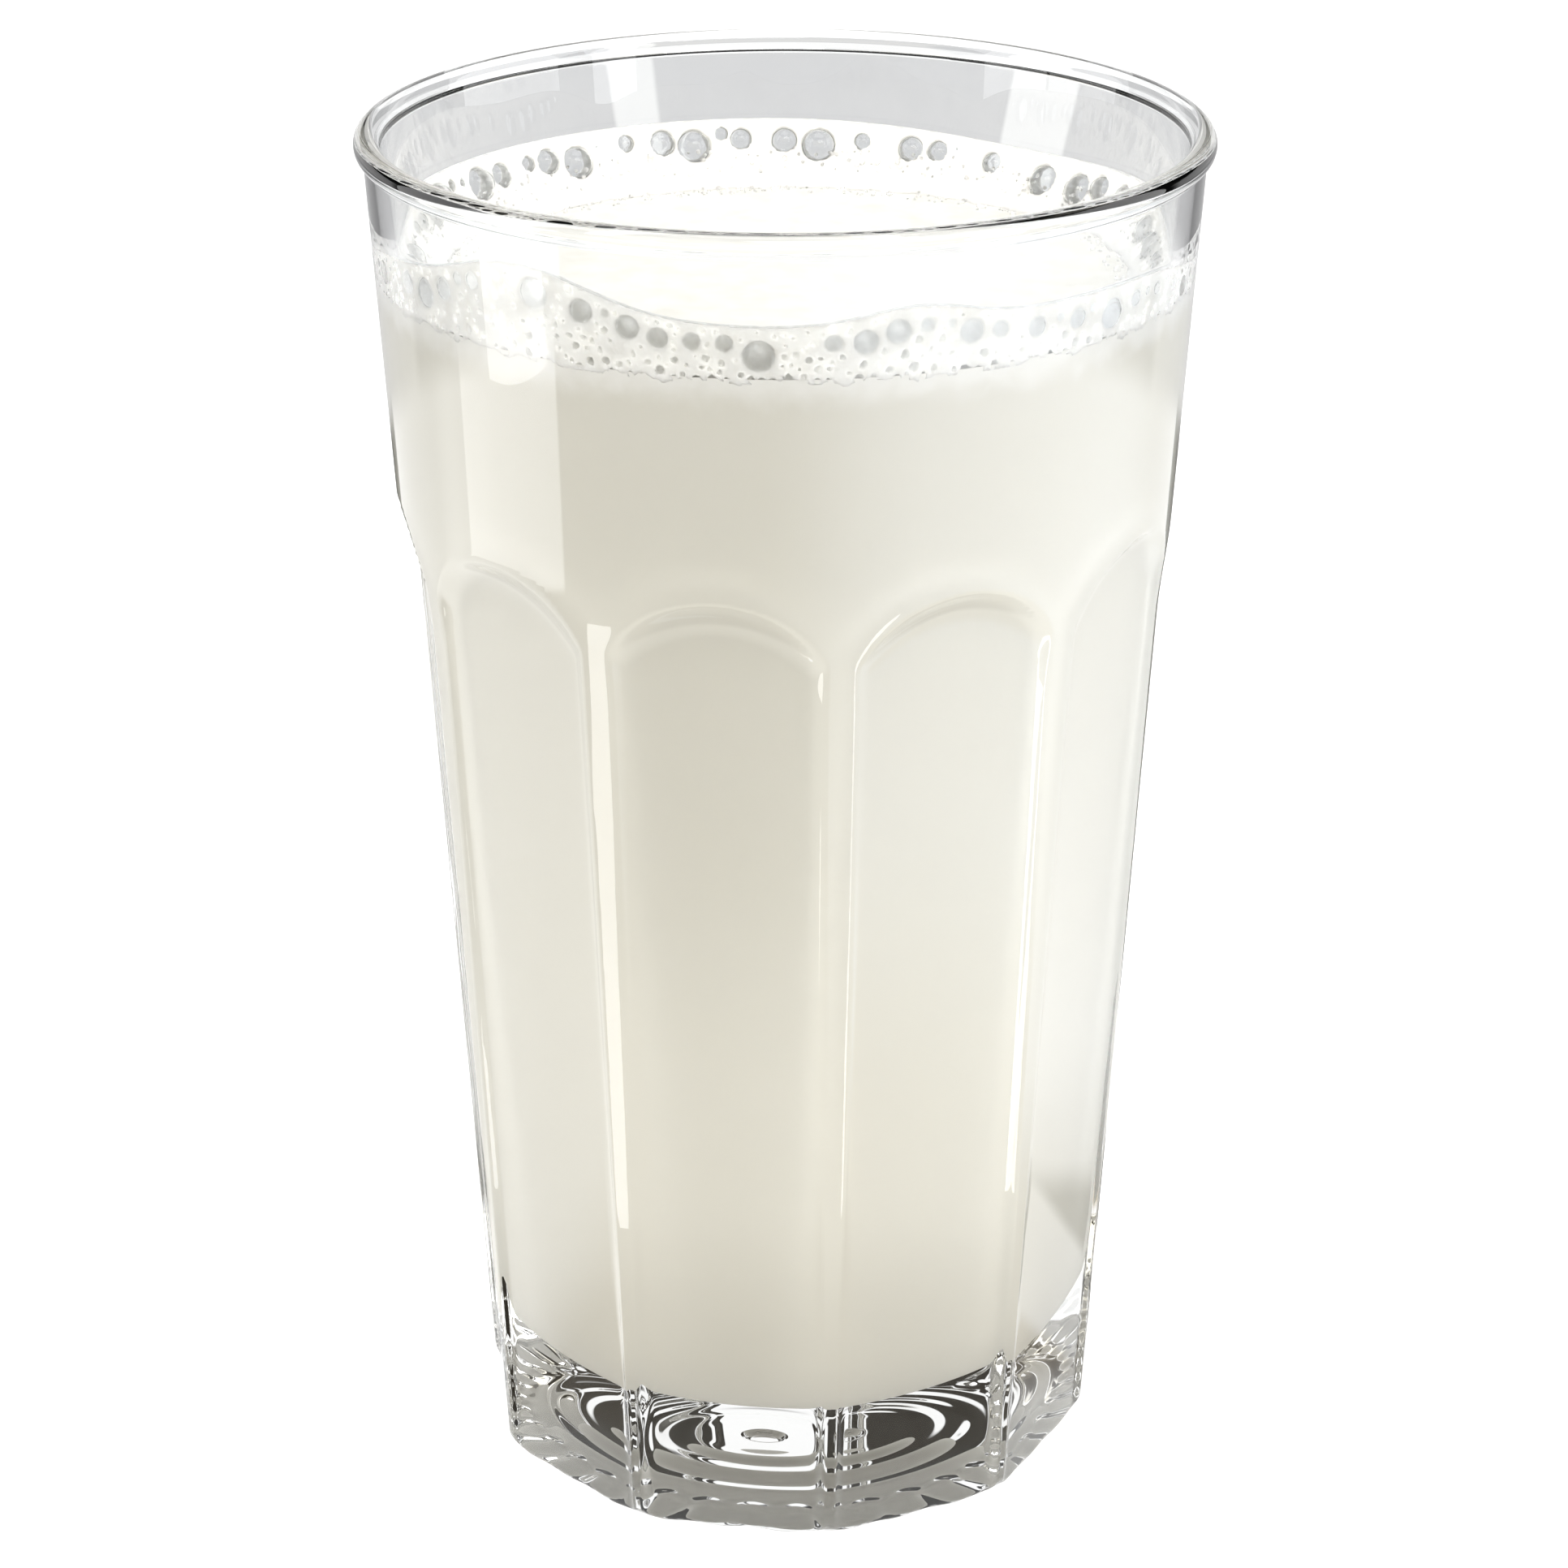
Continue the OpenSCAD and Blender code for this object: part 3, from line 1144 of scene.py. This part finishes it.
    @staticmethod
    def outward(mesh: bpy.types.Mesh) -> bpy.types.Object:
        """Turns a closed mesh's faces outwards, smooths their shading and makes an object of it.

        Args:
            mesh: The mesh.

        Returns:
            The new object, linked to the scene.
        """
        shape = bmesh.new()
        shape.from_mesh(mesh)
        if shape.calc_volume(signed=True) < 0.0:
            bmesh.ops.reverse_faces(shape, faces=shape.faces)
        shape.to_mesh(mesh)
        shape.free()
        mesh.shade_smooth()
        return put_in_scene(mesh.name, mesh)

    def wet_edge(self, thickness: float) -> bpy.types.Object:
        """Builds the round bead of liquid along the froth's upper edge.

        Args:
            thickness: Its diameter.

        Returns:
            The finished piece, without its material.
        """
        around, sides = 540, 8
        half = thickness / 2
        points = []
        for i in range(around):
            angle = 360.0 * i / around
            turn, z = math.radians(angle), self.top(angle)
            for j in range(sides):
                tilt = math.tau * j / sides
                out = self.wall_radius(z) - half + half * math.cos(tilt)
                points.append((out * math.cos(turn), out * math.sin(turn), z + half * math.sin(tilt)))
        faces = []
        for i in range(around):
            for j in range(sides):
                here, there = i * sides, (i + 1) % around * sides
                faces.append((here + j, there + j, there + (j + 1) % sides, here + (j + 1) % sides))
        mesh = bpy.data.meshes.new("froth_wet_edge")
        mesh.from_pydata(points, [], faces)
        return self.outward(mesh)


def bubble_scatter() -> GeometryTree:
    """Builds the tree that puts a ball on each point, flattens it against the wall and hollows it.

    Returns:
        The tree.
    """
    tree = GeometryTree("bubble_scatter")
    fineness = tree.ask("Fineness", Kind.INT)
    wall_radius = tree.ask("Wall Radius", Kind.FLOAT)
    wall_slope = tree.ask("Wall Slope", Kind.FLOAT)
    skin = tree.ask("Skin", Kind.FLOAT)
    hollow = tree.ask("Hollow", Kind.BOOL)
    material = tree.ask("Material", Kind.MATERIAL)

    named = tree.add("GeometryNodeInputNamedAttribute", {"Name": "size"}, data_type="FLOAT")
    size = named.outputs["Attribute"]
    ball = tree.add("GeometryNodeMeshIcoSphere", {"Radius": 1.0, "Subdivisions": fineness}).outputs["Mesh"]
    shells = []
    for layer in range(2):
        scale = size if layer == 0 else tree.math("MULTIPLY", size, tree.math("SUBTRACT", 1.0, skin))
        spots = {"Points": tree.entry.outputs[0], "Instance": ball, "Scale": scale}
        balls = tree.add("GeometryNodeInstanceOnPoints", spots).outputs[0]
        solid = tree.add("GeometryNodeRealizeInstances", {0: balls}).outputs[0]
        if layer == 1:
            solid = tree.add("GeometryNodeFlipFaces", {0: solid}).outputs[0]
            empty = tree.add("GeometryNodeMeshLine", {"Count": 0}).outputs[0]
            solid = tree.add(
                "GeometryNodeSwitch", {"Switch": hollow, "False": empty, "True": solid}, input_type="GEOMETRY"
            ).outputs[0]
        px, py, pz = tree.position()
        out = tree.math("SQRT", tree.math("ADD", tree.square(px), tree.square(py)))
        wall = tree.math("MULTIPLY_ADD", wall_slope, pz, wall_radius)
        limit = tree.math("SUBTRACT", wall, 0.02 * MM + 0.05 * MM * layer)
        pull = tree.math("MINIMUM", tree.math("DIVIDE", limit, out), 1.0)
        moved = tree.vector(tree.math("MULTIPLY", px, pull), tree.math("MULTIPLY", py, pull), pz)
        shells.append(tree.add("GeometryNodeSetPosition", {"Geometry": solid, "Position": moved}).outputs[0])
    join = tree.add("GeometryNodeJoinGeometry")
    for shell in shells:
        tree.tree.links.new(shell, join.inputs[0])
    shading = {"Geometry": join.outputs[0], "Shade Smooth": True}
    smooth = tree.add("GeometryNodeSetShadeSmooth", shading).outputs[0]
    real = tree.add("GeometryNodeRealizeInstances", {0: smooth}).outputs[0]
    dressed = tree.add("GeometryNodeSetMaterial", {"Geometry": real, "Material": material}).outputs[0]
    tree.close(dressed)
    return tree


def bubble_cloud(name: str, bubbles: Sequence[Bubble]) -> bpy.types.Object:
    """Makes a point for each bubble, with its radius as the attribute "size".

    Args:
        name: The object's name.
        bubbles: The bubbles.

    Returns:
        The new object, linked to the scene.
    """
    mesh = bpy.data.meshes.new(name)
    mesh.from_pydata([(b.x, b.y, b.z) for b in bubbles], [], [])
    sizes = mesh.attributes.new("size", "FLOAT", "POINT")
    for item, bubble in zip(sizes.data, bubbles):
        item.value = bubble.radius
    return put_in_scene(name, mesh)


@dataclass
class FrothPieces:
    """Builds the froth's pieces and hands them to the frame."""

    froth: Froth
    foam: WhiteFroth = WhiteFroth()
    skin: BubbleSkin = field(default_factory=BubbleSkin)
    small_tries: int = 15000
    speck_count: int = 1500
    edge_thickness: float = 0.26 * MM
    skin_share: float = 0.035
    skin_gap: float = 0.04 * MM

    def balls(
        self, tree: GeometryTree, name: str, bubbles: Sequence[Bubble], hollow: bool
    ) -> bpy.types.Object:
        """Builds one kind of bubbles as one piece.

        Args:
            tree: The bubble tree.
            name: The piece's name.
            bubbles: The bubbles.
            hollow: Whether they are thin shells.

        Returns:
            The finished piece.
        """
        glass = self.froth.milk.tumbler
        return tree.apply(
            bubble_cloud(name, bubbles),
            {
                "Fineness": 3 if hollow else 2,
                "Wall Radius": glass.cavity_radius(0.0),
                "Wall Slope": glass.cavity_slope,
                "Skin": self.skin_share,
                "Hollow": hollow,
                "Material": (self.skin if hollow else self.foam).make(),
            },
        )

    def specks(self) -> list[Bubble]:
        """Fine round specks of froth on the milk's climb, and low on the wall's foam."""
        froth = self.froth
        dice = random.Random(froth.seed + 2)
        found = []
        for _ in range(self.speck_count):
            angle = dice.uniform(-180.0, 180.0)
            radius = dice.triangular(0.10, 0.30, 0.13) * MM
            if dice.random() < 0.5:
                inward = dice.triangular(3.2, 6.2, 3.8) * MM
                z = froth.milk.surface_height(inward) + 0.2 * radius
            else:
                z = froth.milk.edge + dice.uniform(-0.1, 2.2) * MM
                inward = froth.thickness(froth.rise_share(z, froth.top(angle))) - 0.1 * MM
            found.append(froth.on_wall(angle, inward, z, radius))
        return found

    def build(self) -> None:
        """Builds the foam, the bubble skins, the specks and the wet edge."""
        froth = self.froth
        large = froth.large_bubbles()
        small = froth.small_bubbles(large, self.small_tries)
        foam = froth.foam([froth.hollow(bubble) for bubble in large] + small)
        foam.data.materials.append(self.foam.make())
        edge = froth.wet_edge(self.edge_thickness)
        edge.data.materials.append(WetFilm().make())
        tree = bubble_scatter()
        skins = [Bubble(b.x, b.y, b.z, b.radius - self.skin_gap) for b in large]
        pieces = [
            foam,
            edge,
            self.balls(tree, "large_bubbles", skins, True),
            self.balls(tree, "fine_bubbles", self.specks(), False),
        ]
        for piece in pieces:
            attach(piece, BODY)
            report(piece)
        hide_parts("froth")
        LOG.info("froth: %d large bubbles, %d small ones", len(large), len(small))


# -------------------------------------------------------------------- studio


@dataclass(frozen=True)
class Softbox:
    """A rectangular studio light."""

    name: str
    place: tuple[float, float, float]
    aim: tuple[float, float, float]
    width: float
    height: float
    radiance: float
    spin: float = 0.0

    def build(self) -> bpy.types.Object:
        """Hangs the light and returns it."""
        light = bpy.data.lights.new(self.name, "AREA")
        light.shape = "RECTANGLE"
        light.size = self.width
        light.size_y = self.height
        light.energy = self.radiance * math.pi * self.width * self.height
        lamp = put_in_scene(self.name, light)
        lamp.location = self.place
        way = Vector(self.aim) - Vector(self.place)
        turned = way.to_track_quat("-Z", "Y")
        if abs(way.normalized().z) > 0.999:
            turned = Euler((math.pi, 0.0, self.spin)).to_quaternion()
        lamp.rotation_euler = turned.to_euler()
        lamp.visible_camera = False
        return lamp


@dataclass
class Studio:
    """A pale floor, soft light from all round and the camera."""

    floor_radius: float = 4.0
    camera_distance: float = 423.0 * MM
    camera_height: float = 244.5 * MM
    camera_dip: float = 22.35
    lens: float = 102.0
    sideways: float = -0.0008
    low_flags: Flags = ((-137.0, 6.0), (-112.0, 6.0), (137.0, 6.0), (112.0, 6.0))
    edge_flags: Flags = ((-162.0, 9.0), (161.0, 10.0))
    room_flags: Flags = ((-162.0, 9.0), (-136.0, 6.0), (161.0, 10.0), (134.0, 6.0))

    def disc(self, name: str, radius: float, height: float) -> bpy.types.Object:
        """Lays a round sheet on the ground.

        Args:
            name: The sheet's name.
            radius: Its radius.
            height: Its height.

        Returns:
            The new object.
        """
        mesh = bpy.data.meshes.new(name)
        turns = [math.tau * i / 96 for i in range(96)]
        rim = [(radius * math.cos(t), radius * math.sin(t), height) for t in turns]
        mesh.from_pydata(rim, [], [tuple(range(len(rim)))])
        sheet = put_in_scene(name, mesh)
        return sheet

    def build_floor(self) -> None:
        """Lays the pale floor that the camera sees."""
        floor = self.disc("floor", self.floor_radius, -0.05 * MM)
        material, wiring, shader, _ = new_material("pale_floor")
        place = wiring.place()
        grain = wiring.ramp(wiring.noise(place, 8.0), 0.3, 0.7)
        wiring.feed(shader.inputs["Base Color"], wiring.blend(grain, grey(0.50), grey(0.51)))
        settle(shader, Roughness=0.9, Specular_IOR_Level=0.0)
        settle(shader, Emission_Color=grey(1.0), Emission_Strength=0.84)
        floor.data.materials.append(material)
        for rays in ("diffuse", "glossy", "transmission", "shadow"):
            setattr(floor, f"visible_{rays}", False)

    def build_table(self) -> None:
        """Lays the studio table that the glass mirrors and bends, with brighter and darker zones."""
        table = self.disc("table", 1.0, -0.1 * MM)
        material, wiring, shader, _ = new_material("table_top")
        place = wiring.place()
        away = wiring.add("ShaderNodeVectorMath", {0: place}, operation="LENGTH").outputs["Value"]
        way = wiring.level_way(place)
        inner, outer = wiring.ramp(away, 0.062, 0.090), wiring.ramp(away, 0.100, 0.180, 1.0, 0.0)
        ring = wiring.math("MULTIPLY", inner, outer)
        near = wiring.math("MULTIPLY", ring, wiring.sector(way, 0.0, 66.0, 12.0))
        under = wiring.ramp(away, 0.034, 0.042, 1.0, 0.0)
        below = wiring.blend(wiring.ramp(away, 0.018, 0.022), grey(0.02), grey(1.1))
        far = wiring.ramp(away, 0.33, 0.36)
        beyond = wiring.ramp(away, 0.245, 0.250)
        strip = wiring.math("MULTIPLY", wiring.sector(way, -81.5, 17.5, 1.0), beyond)
        rear = wiring.sector(way, 180.0, 88.0, 4.0)
        left_window = wiring.sector(way, -176.2, 0.5, 0.15)
        right_window = wiring.sector(way, 173.3, 0.9, 0.15)
        windows = wiring.math("MAXIMUM", left_window, right_window)
        glow = wiring.blend(rear, (0.60, 0.52, 0.40, 1.0), grey(1.2))
        close = wiring.ramp(away, 0.070, 0.080, 1.0, 0.0)
        flagged = wiring.math("MULTIPLY", close, self.flag_share(wiring, way, self.low_flags))
        flagged = wiring.math("MAXIMUM", flagged, self.flag_share(wiring, way, self.edge_flags))
        glow = wiring.blend(flagged, glow, grey(0.01))
        outside = wiring.ramp(away, 0.07, 0.12)
        right = wiring.math("MULTIPLY", wiring.sector(way, 62.0, 8.0, 62.0), outside)
        glow = wiring.blend(right, glow, (2.5, 2.6, 2.8, 1.0))
        glow = wiring.blend(wiring.sector(way, -92.0, 12.0, 12.0), glow, grey(2.0))
        glow = wiring.blend(strip, glow, grey(3.6))
        glow = wiring.blend(near, glow, (2.0, 1.92, 1.75, 1.0))
        glow = wiring.blend(under, glow, below)
        distant = wiring.blend(self.side_share(wiring, way), (0.66, 0.66, 0.67, 1.0), grey(0.03))
        glow = wiring.blend(far, glow, distant)
        glow = wiring.blend(wiring.math("MULTIPLY", far, windows), glow, grey(0.92))
        settle(shader, Base_Color=grey(0.05), Specular_IOR_Level=0.0, Emission_Strength=1.0)
        wiring.feed(shader.inputs["Emission Color"], glow)
        table.data.materials.append(material)
        table.visible_camera = False

    @staticmethod
    def flag_share(wiring: Wiring, way: Socket, flags: Flags) -> Socket:
        """Marks the directions that a black flag covers.

        Args:
            wiring: The tree to build in.
            way: A level direction of length 1.
            flags: The flags, each as its bearing and half its width in degrees.

        Returns:
            1 where a flag stands and 0 between the flags.
        """
        share: object = 0.0
        for bearing, half in flags:
            share = wiring.math("MAXIMUM", share, wiring.sector(way, bearing, half))
        return share

    @staticmethod
    def side_share(wiring: Wiring, way: Socket) -> Socket:
        """Marks the dark curtains that hang at both sides, far from the glass.

        Args:
            wiring: The tree to build in.
            way: A level direction of length 1.

        Returns:
            1 where a curtain hangs and 0 between the curtains.
        """
        right, left = (wiring.sector(way, bearing, 22.0, 6.0) for bearing in (97.0, -97.0))
        return wiring.math("MAXIMUM", right, left)

    def build_world(self) -> None:
        """Lights the room: pale low down and behind, with black flags, and dim overhead."""
        world = bpy.data.worlds.new("studio")
        world.use_nodes = True
        world.node_tree.nodes.clear()
        wiring = Wiring(world.node_tree)
        look = wiring.add("ShaderNodeTexCoord").outputs["Generated"]
        way = wiring.add("ShaderNodeSeparateXYZ", {0: look})
        back = wiring.ramp(way.outputs[1], 0.1, 0.7)
        low = wiring.ramp(way.outputs[2], 0.14, 0.18, 1.0, 0.0)
        high = wiring.ramp(way.outputs[2], 0.72, 0.80)
        room = wiring.blend(back, (1.56, 1.48, 1.25, 1.0), grey(1.05))
        sides = wiring.ramp(wiring.math("ABSOLUTE", way.outputs[0]), 0.62, 0.70)
        room = wiring.blend(sides, room, grey(0.03))
        level = wiring.level_way(look)
        room = wiring.blend(self.flag_share(wiring, level, self.room_flags), room, grey(0.01))
        room = wiring.blend(high, room, grey(0.04))
        skirting = wiring.blend(self.side_share(wiring, level), grey(1.0), grey(0.03))
        shown = wiring.blend(low, room, skirting)
        background = wiring.add("ShaderNodeBackground", {"Color": shown, "Strength": 1.0})
        wiring.add("ShaderNodeOutputWorld", {"Surface": background.outputs[0]})
        bpy.context.scene.world = world

    def build_lights(self) -> None:
        """Hangs upright strips at the sides and a panel overhead, and lays bright cards on the table."""
        for box in (
            Softbox("left_strip", (-0.26, -0.063, 0.20), (0.0, 0.0, 0.12), 0.12, 0.42, 2.5),
            Softbox("left_fill", (-0.5, 0.1, 0.26), (0.0, 0.0, 0.1), 0.3, 0.5, 1.9),
            Softbox("right_strip", (0.33, -0.24, 0.22), (0.0, 0.0, 0.12), 0.11, 0.44, 3.0),
            Softbox("right_fill", (0.5, 0.02, 0.26), (0.0, 0.0, 0.1), 0.4, 0.5, 2.5),
            Softbox("front_top", (0.15, -0.5, 0.75), (0.0, 0.0, 0.1), 0.5, 0.35, 3.2),
            Softbox("overhead", (0.05, 0.15, 1.0), (0.0, 0.0, 0.1), 0.8, 0.8, 1.9),
            self.card("left_card", -53.0, 0.080, 0.215, 0.028, 4.5),
            self.card("right_card", 30.0, 0.085, 0.215, 0.022, 6.0),
        ):
            box.build()

    def card(
        self, name: str, bearing: float, near: float, far: float, width: float, radiance: float
    ) -> Softbox:
        """Lays a bright card on the table, pointing away from the glass.

        Args:
            name: The card's name.
            bearing: Its bearing in degrees from the camera's side towards +X.
            near: Distance of its near edge from the axis.
            far: Distance of its far edge.
            width: Its width.
            radiance: How bright it is.

        Returns:
            The card as a softbox that shines upwards.
        """
        turn = math.radians(bearing)
        middle = (near + far) / 2
        place = (middle * math.sin(turn), -middle * math.cos(turn), 0.002)
        return Softbox(name, place, (place[0], place[1], 1.0), width, far - near, radiance, turn)

    def build_camera(self) -> None:
        """Sets up the camera."""
        data = bpy.data.cameras.new("camera")
        data.lens = self.lens
        data.sensor_width = 36.0
        data.shift_x = self.sideways
        data.clip_start = 0.01
        camera = put_in_scene("camera", data)
        camera.location = (0.0, -self.camera_distance, self.camera_height)
        camera.rotation_euler = Euler((math.radians(90.0 - self.camera_dip), 0.0, 0.0))
        bpy.context.scene.camera = camera

    def build(self) -> None:
        """Builds the camera, the floor, the table, the world and the lights."""
        self.build_camera()
        self.build_floor()
        self.build_table()
        self.build_world()
        self.build_lights()
        bpy.context.scene.view_settings.view_transform = "Standard"


def report(piece: bpy.types.Object) -> None:
    """Logs a finished piece's name and size."""
    LOG.info("%s: %d faces", piece.name, len(piece.data.polygons))


def main() -> None:
    """Builds every piece in order."""
    logging.basicConfig(level=logging.INFO, format="%(message)s")
    Studio().build()
    turning = panelled_turning()
    glass = Tumbler()
    glass_piece = glass.build(turning)
    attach(glass_piece, BODY)
    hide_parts("tumbler")
    report(glass_piece)
    milk = Milk(glass)
    milk_piece = milk.build(turning)
    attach(milk_piece, BODY)
    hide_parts("milk")
    report(milk_piece)
    FrothPieces(Froth(milk)).build()


if __name__ == "__main__":
    main()
